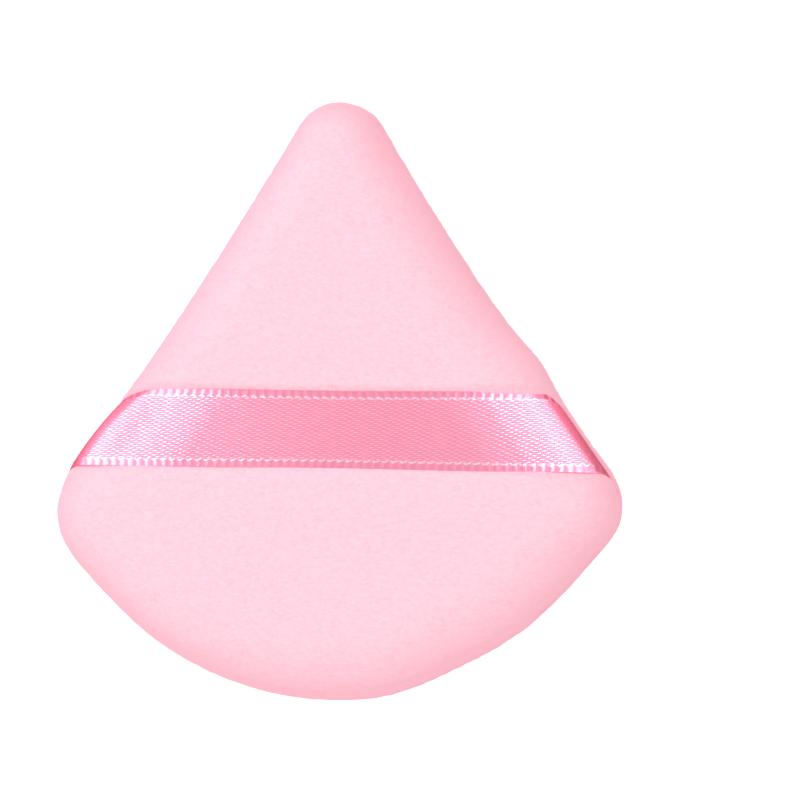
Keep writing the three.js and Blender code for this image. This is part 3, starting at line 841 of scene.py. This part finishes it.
def stacked(name, rings, noise_cell, noise_height, seed):
    """A closed piece over a stack of rings that ends in two poles, roughened along its normals."""
    noise = tuft_noise(rings, noise_cell, seed)
    rings = rings + grid_normals(rings, 1) * (noise_height * noise)[..., None]
    poles = np.stack([rings[0].mean(axis=0), rings[-1].mean(axis=0)])
    faces = closed_faces(*rings.shape[:2], 1)
    print(name, "triangles", triangles(faces))
    return sewn_piece(name, np.concatenate([rings.reshape(-1, 3), poles]), faces)


# %% Sponge
FOAM_HALF, FOAM_INSET, FOAM_EDGE = 2.5, 5.5, 0.3
FOAM_FACE, FOAM_RIM, FOAM_WALL = 40, 4, 12
PORE_CELL, PORE_DEPTH = 0.7, 0.09


def sponge():
    """A slab: face shrunk towards the pole, a small rounded rim, a straight wall, and back."""
    face = np.linspace(0, 1, FOAM_FACE)[1:-1]
    turn = np.linspace(0, QUARTER_TURN, FOAM_RIM)
    wall = np.linspace(1, -1, FOAM_WALL)[1:-1] * (FOAM_HALF - FOAM_EDGE)
    rim_in, rim_up = FOAM_EDGE * (1 - np.sin(turn)), FOAM_HALF - FOAM_EDGE * (1 - np.cos(turn))
    face_in, face_up = 0 * face + FOAM_EDGE, 0 * face + FOAM_HALF
    inset = FOAM_INSET + np.concatenate([face_in, rim_in, 0 * wall, rim_in[::-1], face_in])
    shrink = np.concatenate([face, np.ones(2 * len(turn) + len(wall)), face[::-1]])
    rise = np.concatenate([face_up, rim_up, wall, -rim_up[::-1], -face_up])
    return stacked("sponge_core", rings_from(inset, shrink, rise, 0 * rise), PORE_CELL, PORE_DEPTH, seed=31)


sponge_core = sponge()

# %% Fibre
FIBRE_CLEARANCE = 0.35
STITCH_ROOM, SEAM_ROOM_INSET, ROOM_SLOPE = 2.45, 5.3, 0.15
FIBRE_FACE, FIBRE_ROLL, FIBRE_UNDER = 34, 14, 6
LUMP_CELL, LUMP_HEIGHT = 1.6, 0.12


def fibre(name, half, seed):
    """A crowned layer: its outside under the cover, its underside over the stitches and over the sponge."""
    top, over_sponge = FACE_RISE - COVER_WALL - FIBRE_CLEARANCE, FOAM_HALF + FIBRE_CLEARANCE
    foot = (STITCH_ROOM - ALLOWANCE_TOP) / (top - ALLOWANCE_TOP)
    turn = np.linspace(QUARTER_TURN, np.arcsin(foot ** (ROLL_POWER / 2)), FIBRE_ROLL)
    roll_in, roll_up = inner_roll(turn, COVER_WALL + FIBRE_CLEARANCE, top)
    face = np.linspace(0, 1, FIBRE_FACE)[1:-1]
    under_in = np.linspace(roll_in[-1], SEAM_ROOM_INSET - ROOM_SLOPE, FIBRE_UNDER)[1:]
    inner = np.concatenate([[1.0], face[::-1]])
    outside = np.concatenate([0 * face + top, roll_up])
    underside = np.concatenate([0 * under_in + STITCH_ROOM, 0 * inner + over_sponge])
    inset = np.concatenate([0 * face + EDGE_ROLL, roll_in, under_in, 0 * inner + SEAM_ROOM_INSET])
    shrink = np.concatenate([face, np.ones(len(roll_in) + len(under_in)), inner])
    rise = np.concatenate([outside, underside])
    lift = half["crown"] * np.concatenate([outside / FACE_RISE, 0 * underside])
    rings = rings_from(inset, shrink, half["up"] * rise, half["up"] * lift)
    return stacked(name, rings if half["up"] > 0 else rings[::-1], LUMP_CELL, LUMP_HEIGHT, seed)


fibre_front = fibre("fibre_front", FRONT, seed=37)
fibre_back = fibre("fibre_back", BACK, seed=41)

# %% [markdown]
# ## The sewing threads
# A lockstitch has two threads: the needle thread runs on the front allowance, the bobbin thread on the
# back one, and at every hole each dips through and hooks the other. The opening for turning is closed by
# hand with one running thread. A curve with a round bevel would make a smooth cord, so each thread is a
# tube carried along a path whose two-lobed section turns as it goes, and the two plies show.

# %% Stitch places
STITCH_LENGTH, TURNING_GAP, TURNING_GAP_ASIDE = 5.0, 28.0, 24.0
LAP_STEPS, LOOK_AHEAD = 4001, 0.05


def stitch_places(start, length):
    """Even steps along the stitch line from a length that is counted from the middle of the base."""
    x, y = outline(np.full(LAP_STEPS, STITCH_INSET), np.linspace(0, 1, LAP_STEPS) % 1)
    line = np.concatenate([[0], np.cumsum(np.hypot(np.diff(x), np.diff(y)))])
    length = length if length > 0 else line[-1] + length
    at = (start + np.linspace(0, length, round(length / STITCH_LENGTH) + 1)) % line[-1]
    ahead = (at + LOOK_AHEAD) % line[-1]
    here = np.stack([np.interp(at, line, x), np.interp(at, line, y)], -1)
    way = np.stack([np.interp(ahead, line, x), np.interp(ahead, line, y)], -1) - here
    return here, way / np.linalg.norm(way, axis=1, keepdims=True)


def stitched(places, along, across, height):
    """Points beside each stitch place: along the seam, across it, and over it."""
    here, way = places
    side = np.stack([-way[:, 1], way[:, 0]], -1)
    flat = here[:, None] + way[:, None] * np.asarray(along)[None, :, None]
    flat = flat + side[:, None] * np.asarray(across)[None, :, None]
    z = np.broadcast_to(SEAM_Z + np.asarray(height), flat.shape[:2])
    return np.concatenate([flat, z[..., None]], -1).reshape(-1, 3)


gap_start = TURNING_GAP_ASIDE - TURNING_GAP / 2
sewn = stitch_places(gap_start + TURNING_GAP, -TURNING_GAP)
closed = stitch_places(gap_start + STITCH_LENGTH / 2, TURNING_GAP - STITCH_LENGTH)
print("machine stitches", len(sewn[0]) - 1, "hand stitches", len(closed[0]) - 1)

# %% Threads
THREAD_RADIUS, THREAD_PITCH, RUN_HEIGHT = 0.15, 0.4, 2.0
THREAD_SIDES, THREAD_STEP, ROUNDINGS = 10, 0.12, 2
PLY_TURN, PLY_WAIST, PLY_LOBE = 0.9, 0.78, 0.22


def thread(name, corners):
    """A two-ply tube: the path is spaced evenly and rounded, and the section's two lobes turn along it."""
    length = np.concatenate([[0], np.cumsum(np.linalg.norm(np.diff(corners, axis=0), axis=1))])
    even = np.linspace(0, length[-1], int(length[-1] / THREAD_STEP))
    path = np.stack([np.interp(even, length, corners[:, k]) for k in range(3)], -1)
    for _ in range(ROUNDINGS):
        path[1:-1] = (path[:-2] + path[1:-1] + path[2:]) / 3
    way = np.gradient(path, axis=0)
    way /= np.linalg.norm(way, axis=1, keepdims=True)
    out = path * [1, 1, 0] - [0, POLE_Y, 0]
    out = out - way * (out * way).sum(1, keepdims=True)
    out /= np.linalg.norm(out, axis=1, keepdims=True)
    other = np.cross(way, out)
    angle = np.linspace(0, 2 * np.pi, THREAD_SIDES, endpoint=False)[None, :, None]
    lobes = PLY_WAIST + PLY_LOBE * np.abs(np.cos(angle - 2 * np.pi * PLY_TURN * even[:, None, None]))
    spokes = out[:, None] * np.cos(angle) + other[:, None] * np.sin(angle)
    rings = path[:, None] + THREAD_RADIUS * lobes * spokes
    faces = closed_faces(len(rings), THREAD_SIDES, -1)
    print(name, "length", round(length[-1], 1), "mm")
    return sewn_piece(name, np.concatenate([rings.reshape(-1, 3), path[[0, -1]]]), faces)


leg, link = THREAD_PITCH / np.sqrt(2), THREAD_PITCH / 2
along = np.array([-leg, -leg, leg, leg])
across = np.array([leg, leg, -leg, -leg])
dip = np.array([RUN_HEIGHT, -link, -link, RUN_HEIGHT])
swap = np.where(np.arange(len(closed[0])) % 2 == 0, 1, -1)[:, None] * np.array([[RUN_HEIGHT, -RUN_HEIGHT]])
needle_thread = thread("thread_needle", stitched(sewn, along, across, dip))
bobbin_thread = thread("thread_bobbin", stitched(sewn, along, -across, -dip))
closing_thread = thread("thread_closing", stitched(closed, [0, 0], [0, 0], swap))

# %% [markdown]
# ## Finishes
# Colour, roughness and fine relief come from nodes. They could read pictures, but here they read the
# piece's own coordinates, or the values that its cell stored on the points, so a finish stays on its
# piece when the piece moves and needs no unwrapping. A few helpers add the nodes.

# %% Node helpers


def finish(name, color, roughness):
    """A new material with its shader's plain values."""
    material = bpy.data.materials.new(name)
    material.use_nodes = True
    shader = material.node_tree.nodes["Principled BSDF"]
    shader.inputs["Base Color"].default_value = (*color, 1)
    shader.inputs["Roughness"].default_value = roughness
    return material, material.node_tree, shader


def noise_node(tree, scale, detail, stretch=(1, 1, 1)):
    """Noise on the piece's own coordinates, in features per metre."""
    coordinates = tree.nodes.new("ShaderNodeTexCoord")
    mapping = tree.nodes.new("ShaderNodeMapping")
    mapping.inputs["Scale"].default_value = stretch
    noise = tree.nodes.new("ShaderNodeTexNoise")
    noise.inputs["Scale"].default_value = scale
    noise.inputs["Detail"].default_value = detail
    tree.links.new(coordinates.outputs["Object"], mapping.inputs["Vector"])
    tree.links.new(mapping.outputs["Vector"], noise.inputs["Vector"])
    return noise.outputs["Fac"]


def stored(tree, name):
    """A value that the piece keeps on its points."""
    node = tree.nodes.new("ShaderNodeAttribute")
    node.attribute_name = name
    return node.outputs["Fac"]


def ramp(tree, value, stops):
    """Colours along a value."""
    node = tree.nodes.new("ShaderNodeValToRGB")
    for k, (at, color) in enumerate(stops):
        stop = node.color_ramp.elements[k] if k < 2 else node.color_ramp.elements.new(at)
        stop.position, stop.color = at, (*color, 1)
    tree.links.new(value, node.inputs["Fac"])
    return node.outputs["Color"]


def mixed(tree, share, first, second):
    """Two colours mixed by a share, each a socket or a colour."""
    node = tree.nodes.new("ShaderNodeMix")
    node.data_type, node.blend_type = "RGBA", "MIX"
    for socket, value in ((node.inputs[0], share), (node.inputs[6], first), (node.inputs[7], second)):
        if isinstance(value, bpy.types.NodeSocket):
            tree.links.new(value, socket)
        else:
            socket.default_value = (*value, 1)
    return node.outputs[2]


def scaled(tree, value, factor):
    """A value times a number."""
    node = tree.nodes.new("ShaderNodeMath")
    node.operation = "MULTIPLY"
    tree.links.new(value, node.inputs[0])
    node.inputs[1].default_value = factor
    return node.outputs[0]


def relief(tree, shader, height, strength, distance):
    """Fine relief from a height."""
    node = tree.nodes.new("ShaderNodeBump")
    node.inputs["Strength"].default_value = strength
    node.inputs["Distance"].default_value = distance
    tree.links.new(height, node.inputs["Height"])
    tree.links.new(node.outputs["Normal"], shader.inputs["Normal"])


# %% [markdown]
# ### Velour
# Velour is matt with a faint sheen. Its colour is paler where the tufts stand highest, a painted highlight,
# with painted shade between them, and deeper pink over the rolled edge, which is painted shade. Hair
# particles could stand for the pile, but at this size they only blur the outline, so the tufts of the mesh
# are joined by a finer nap in the colour and the relief.

# %% Velour
PINK, PALE_PINK = (0.97, 0.54, 0.625), (0.99, 0.60, 0.69)
# The pink of the painted shade on the rolled edge, and the deeper end of the nap's random tone
SHADED_EDGE_PINK, DEEPER_NAP = (0.96, 0.41, 0.505), (0.95, 0.485, 0.57)
NAP_SCALE, NAP_DETAIL, NAP_STRETCH = 2300, 4, (0.7, 1.3, 1.0)
# Shares of the painted highlight on the tufts and of the painted shade on the rolled edge
TIP_HIGHLIGHT, EDGE_SHADE = 0.7, 0.62

velour, tree, shader = finish("velour", PINK, roughness=0.95)
shader.inputs["Sheen Weight"].default_value = 0.25
shader.inputs["Sheen Roughness"].default_value = 0.45
shader.inputs["Sheen Tint"].default_value = (1.0, 0.86, 0.9, 1)
shader.inputs["Specular IOR Level"].default_value = 0.15
hairs = noise_node(tree, NAP_SCALE, NAP_DETAIL, NAP_STRETCH)
nap = ramp(tree, hairs, [(0.3, DEEPER_NAP), (0.7, PALE_PINK)])
# Painted highlight on the highest tufts, painted shade between them
tips = mixed(tree, scaled(tree, stored(tree, "pile"), TIP_HIGHLIGHT), nap, PALE_PINK)
# Painted shade over the rolled edge
edges = mixed(tree, scaled(tree, stored(tree, "rolled"), EDGE_SHADE), tips, SHADED_EDGE_PINK)
tree.links.new(edges, shader.inputs["Base Color"])
relief(tree, shader, hairs, strength=0.6, distance=0.0001)
print("finish", velour.name, "nodes", len(tree.nodes))

# %% [markdown]
# ### Satin
# Satin is deep pink in its gaps and paler on its floats, painted shade and a painted sheen that follow the
# weave, paler on the edge thread, and deepest where the band has turned down, which is painted shade. It is
# smooth along its floats, so its gloss is stretched across the ribbon. A clear gloss would turn white at
# low angles, as on plastic. Dyed threads shine in their own colour, so the gloss comes from a share of
# metal instead, which takes the colour of the weave.

# %% Satin
# The last colour is the painted shade where the band turns down over the sides
SATIN, SATIN_LIGHT, SATIN_TURNED_SHADE = (0.925, 0.36, 0.49), (0.98, 0.74, 0.84), (0.80, 0.16, 0.25)
# Painted shade in the gaps of the weave and a painted sheen on its floats
SATIN_GAP_SHADE, SATIN_FLOAT_SHEEN = (0.87, 0.19, 0.325), (0.97, 0.68, 0.77)
ROUGH_GAP, SMOOTH_FLOAT = (0.6, 0.6, 0.6), (0.28, 0.28, 0.28)
PALE_BARS, SHADE_WHERE_TURNED = 0.15, 0.9

satin, tree, shader = finish("satin", SATIN, roughness=0.38)
shader.inputs["Anisotropic"].default_value = 0.8
shader.inputs["Anisotropic Rotation"].default_value = 0.25
shader.inputs["Metallic"].default_value = 0.24
shader.inputs["Specular IOR Level"].default_value = 0.0
tangent = tree.nodes.new("ShaderNodeTangent")
tangent.direction_type, tangent.uv_map = "UV_MAP", "weave"
tree.links.new(tangent.outputs["Tangent"], shader.inputs["Tangent"])
gloss = ramp(tree, stored(tree, "raised"), [(0.1, ROUGH_GAP), (0.5, SMOOTH_FLOAT)])
tree.links.new(gloss, shader.inputs["Roughness"])
# Painted shade in the gaps and a painted sheen on the floats, and the woven edge's own tone
weave = ramp(tree, stored(tree, "tone"), [(0.0, SATIN_GAP_SHADE), (0.42, SATIN), (1.0, SATIN_FLOAT_SHEEN)])
weave = mixed(tree, scaled(tree, stored(tree, "bars"), PALE_BARS), weave, SATIN_LIGHT)
weave = mixed(tree, stored(tree, "edge_thread"), weave, SATIN_LIGHT)
# Painted shade where the band has turned down over the sides
weave = mixed(tree, scaled(tree, stored(tree, "turned"), SHADE_WHERE_TURNED), weave, SATIN_TURNED_SHADE)
tree.links.new(weave, shader.inputs["Base Color"])
relief(tree, shader, noise_node(tree, 3000, 2), strength=0.15, distance=0.00005)
print("finish", satin.name, "nodes", len(tree.nodes))

# %% [markdown]
# ### Sponge, fibre and thread
# The sponge is off-white with darker pores, the fibre white with strands that run one way, and the thread
# a pink between velour and satin. Each could be one flat colour, but a noise that mixes two tones, and on
# sponge and fibre also lifts the surface a little, shows what they are when the puff is opened.

# %% Sponge, fibre and thread
SPONGE, PORES = (0.96, 0.85, 0.78), (0.8, 0.65, 0.57)
FIBRE, FIBRE_SHADE, FIBRE_LIGHT = (0.95, 0.92, 0.9), (0.88, 0.84, 0.83), (0.97, 0.95, 0.94)
THREAD_PINK, THREAD_SHADE, THREAD_LIGHT = (0.9, 0.5, 0.6), (0.85, 0.43, 0.54), (0.94, 0.58, 0.68)
ALONG_X, FINE_ALONG_X = (1, 0.25, 1), (1, 0.2, 1)

foam, tree, shader = finish("sponge", SPONGE, roughness=0.95)
holes = noise_node(tree, 1500, 4)
pores = ramp(tree, holes, [(0.35, PORES), (0.55, SPONGE)])
tree.links.new(pores, shader.inputs["Base Color"])
relief(tree, shader, holes, strength=0.6, distance=0.0003)

wadding, tree, shader = finish("fibre", FIBRE, roughness=1.0)
strands = ramp(tree, noise_node(tree, 600, 5, ALONG_X), [(0.3, FIBRE_SHADE), (0.7, FIBRE_LIGHT)])
tree.links.new(strands, shader.inputs["Base Color"])
relief(tree, shader, noise_node(tree, 1200, 4, FINE_ALONG_X), strength=0.5, distance=0.0003)

cotton, tree, shader = finish("thread", THREAD_PINK, roughness=0.55)
plies = ramp(tree, noise_node(tree, 4000, 2), [(0.3, THREAD_SHADE), (0.7, THREAD_LIGHT)])
tree.links.new(plies, shader.inputs["Base Color"])
shader.inputs["Sheen Weight"].default_value = 0.3
print("finishes", [material.name for material in (foam, wadding, cotton)])

# %% [markdown]
# ## Tying the pieces to the frame
# Each piece takes the place of one solid, which is hidden, and all but the ribbon ride on the body of the
# puff. On the real puff the ribbon alone moves: it bows up over two fingers while its ends stay sewn in. A
# stiff strip that rose as a whole would tear its ends out of the seam. Here the ribbon stays where it lies.

# %% Dress the pieces and tie them to the frame
PIECES = [
    (front_velour, velour, "velour", "front_cover"),
    (back_velour, velour, "velour", "back_cover"),
    (sponge_core, foam, "sponge", "foam_core"),
    (fibre_front, wadding, "fibre", "front_wadding"),
    (fibre_back, wadding, "fibre", "back_wadding"),
    (ribbon, satin, "satin", "ribbon_strap"),
    (needle_thread, cotton, "thread", "needle_thread"),
    (bobbin_thread, cotton, "thread", "bobbin_thread"),
    (closing_thread, cotton, "thread", "closing_thread"),
]
for piece, material, slot, node in PIECES:
    piece.data.materials.append(material)
    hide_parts(node)
    if piece is not ribbon:
        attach(piece, "puff")
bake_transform(ribbon)
print("pieces", [piece.name for piece, *_ in PIECES])

# %% [markdown]
# ## Floor, light and camera
# The puff lies on a plain white table that glows a little, so that it stays white, and gives the puff no
# light back. A pale dome lights the velour from all around, a little less from below, and one weak box at
# the upper left models it. If the dome also showed in the satin, the whole ribbon would look milky, so it
# is hidden from gloss. Two panels, left and right, show in gloss alone: the satin shines where it turns
# over the edges and stays deep in the middle. The camera looks down on the front from twelve degrees to
# the right, rolled by less than one, as one would look at a puff on a table.

# %% Floor
FLOOR_HALF, FLOOR_DROP = 1500.0, 0.02
TABLE_WHITE, TABLE_SHADE, TABLE_LIGHT = (0.9, 0.9, 0.9), (0.89, 0.89, 0.89), (0.91, 0.91, 0.91)
floor_corners = np.array([[-1, -1, 0], [1, -1, 0], [1, 1, 0], [-1, 1, 0]]) * FLOOR_HALF - [0, 0, FLOOR_DROP]
floor = new_object("table", floor_corners, [np.array([[0, 1, 2, 3]])])
paper, tree, shader = finish("white_table", TABLE_WHITE, roughness=0.8)
shader.inputs["Specular IOR Level"].default_value = 0.2
shader.inputs["Emission Color"].default_value = (1, 1, 1, 1)
shader.inputs["Emission Strength"].default_value = 0.4
grain = ramp(tree, noise_node(tree, 60, 2), [(0.3, TABLE_SHADE), (0.7, TABLE_LIGHT)])
tree.links.new(grain, shader.inputs["Base Color"])
floor.data.materials.append(paper)
floor.visible_diffuse = floor.visible_glossy = False
print("floor", FLOOR_DROP, "mm under the puff")

# %% The dome
DOME_BELOW, DOME_ABOVE = (0.8, 0.8, 0.8), (1, 1, 1)
scene = bpy.context.scene
world = bpy.data.worlds.new("pale_sky")
scene.world = world
world.use_nodes = True
sky, tree = world.node_tree.nodes["Background"], world.node_tree
sky.inputs["Strength"].default_value = 1.055
split = tree.nodes.new("ShaderNodeSeparateXYZ")
tree.links.new(tree.nodes.new("ShaderNodeTexCoord").outputs["Generated"], split.inputs["Vector"])
tree.links.new(ramp(tree, split.outputs["Z"], [(0.0, DOME_BELOW), (0.25, DOME_ABOVE)]), sky.inputs["Color"])
world.cycles_visibility.glossy = False
scene.view_settings.view_transform = "Standard"

# %% Lamps
LIT_POINT = (0, 0, 0.006)


def looking(place, target, up=(0, 1, 0)):
    """A turn and place whose -Z axis points from place to target and whose Y axis lies near up."""
    back = (Vector(place) - Vector(target)).normalized()
    right = Vector(up).cross(back).normalized()
    turn = Matrix((right, back.cross(right), back)).transposed()
    return Matrix.Translation(place) @ turn.to_4x4()


def soft_box(name, place, size, watts, only_gloss=False):
    """A rectangular lamp that points at the puff, and that may show in glossy surfaces only."""
    lamp = bpy.data.lights.new(name, "AREA")
    lamp.shape, lamp.size, lamp.size_y, lamp.energy = "RECTANGLE", size[0], size[1], watts
    holder = bpy.data.objects.new(name, lamp)
    holder.matrix_world = looking(place, LIT_POINT)
    holder.visible_camera, holder.visible_diffuse = False, not only_gloss
    scene.collection.objects.link(holder)
    print(name, "at", place, "m,", watts, "W")


soft_box("box_left", place=(-0.35, 0.28, 0.33), size=(0.28, 0.9), watts=0.9)
soft_box("panel_left", place=(-0.431, 0.0, 0.272), size=(0.62, 0.42), watts=7.3, only_gloss=True)
soft_box("panel_right", place=(0.356, 0.0, 0.351), size=(0.70, 0.42), watts=12.4, only_gloss=True)

# %% Camera
PIXELS_PER_MM, PIXELS = 7.9, 800
VIEW_MM = PIXELS / PIXELS_PER_MM
SENSOR_MM, AWAY = 36, 0.6
AIM_X, AIM_Y = 8.1, 0.25
TO_THE_RIGHT, TO_THE_BASE, ROLLED = np.radians(12), np.radians(0.5), np.radians(0.8)
lens = bpy.data.cameras.new("camera")
lens.sensor_width = SENSOR_MM
lens.lens = SENSOR_MM * AWAY / (VIEW_MM * MM)
camera = bpy.data.objects.new("camera", lens)
aim = Vector((AIM_X * MM, AIM_Y * MM, SEAM_Z * MM))
way = Vector((np.sin(TO_THE_RIGHT), -np.sin(TO_THE_BASE), np.cos(TO_THE_RIGHT))).normalized()
camera.matrix_world = looking(aim + AWAY * way, aim, (-np.sin(ROLLED), np.cos(ROLLED), 0))
scene.collection.objects.link(camera)
scene.camera = camera
print("lens", round(lens.lens, 1), "mm")
